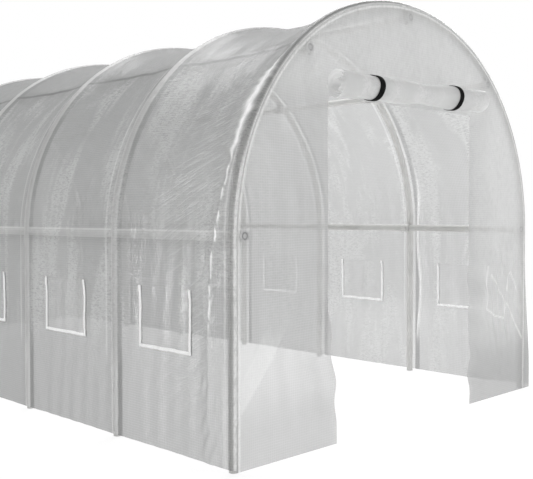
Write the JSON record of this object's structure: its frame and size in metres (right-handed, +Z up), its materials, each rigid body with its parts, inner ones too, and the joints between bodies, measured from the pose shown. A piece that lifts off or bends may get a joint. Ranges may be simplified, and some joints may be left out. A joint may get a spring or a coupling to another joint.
{
  "type": "polytunnel greenhouse",
  "caption": "walk-in polytunnel greenhouse: bent steel hoops on straight legs with purlins, translucent ribbed film cover, flapped side windows and a rolled-up end door",
  "frame": {"origin": "on the ground, at the middle of the footprint of the whole tunnel with its rolled door", "axes": "+X to the right seen from the front, +Y along the tunnel from the front end to the back, +Z up; the doorway with the rolled door faces -Y"},
  "size_m": [2.3096, 4.7966, 2.0026],
  "materials": {
    "tube_steel": "galvanised, dull",
    "clamp_steel": "zinc plated, dull",
    "cap_plastic": "moulded grey plastic",
    "cover_film": "translucent woven-reinforced film, lightly creased",
    "flap_film": "translucent woven-reinforced film, loose",
    "white_tape": "white woven hook-and-loop tape",
    "black_webbing": "black woven webbing"
  },
  "bodies": {
    "root": {"hoop_1_arch": "tube_steel", "hoop_2_arch": "tube_steel", "hoop_3_arch": "tube_steel", "hoop_4_arch": "tube_steel", "hoop_5_arch": "tube_steel", "hoop_6_arch": "tube_steel", "hoop_7_arch": "tube_steel", "hoop_1_legs": "tube_steel", "hoop_2_legs": "tube_steel", "hoop_3_legs": "tube_steel", "hoop_4_legs": "tube_steel", "hoop_5_legs": "tube_steel", "hoop_6_legs": "tube_steel", "hoop_7_legs": "tube_steel", "ridge_purlin": "tube_steel", "left_upper_purlin": "tube_steel", "right_upper_purlin": "tube_steel", "left_side_rail": "tube_steel", "right_side_rail": "tube_steel", "ridge_clamps": "clamp_steel", "left_upper_clamps": "clamp_steel", "right_upper_clamps": "clamp_steel", "left_rail_clamps": "clamp_steel", "right_rail_clamps": "clamp_steel", "purlin_end_caps": "cap_plastic", "left_wall_cover": "cover_film", "left_haunch_cover": "cover_film", "crown_cover": "cover_film", "right_haunch_cover": "cover_film", "right_wall_cover": "cover_film", "front_panel_left": "cover_film", "front_panel_right": "cover_film", "front_panel_head": "cover_film", "back_end_panel": "cover_film", "left_window_flaps": "flap_film", "right_window_flaps": "flap_film", "front_door_roll": "flap_film", "back_door_flap": "flap_film", "left_window_tapes": "white_tape", "right_window_tapes": "white_tape", "front_door_straps": "black_webbing"}
  },
  "joints": []
}
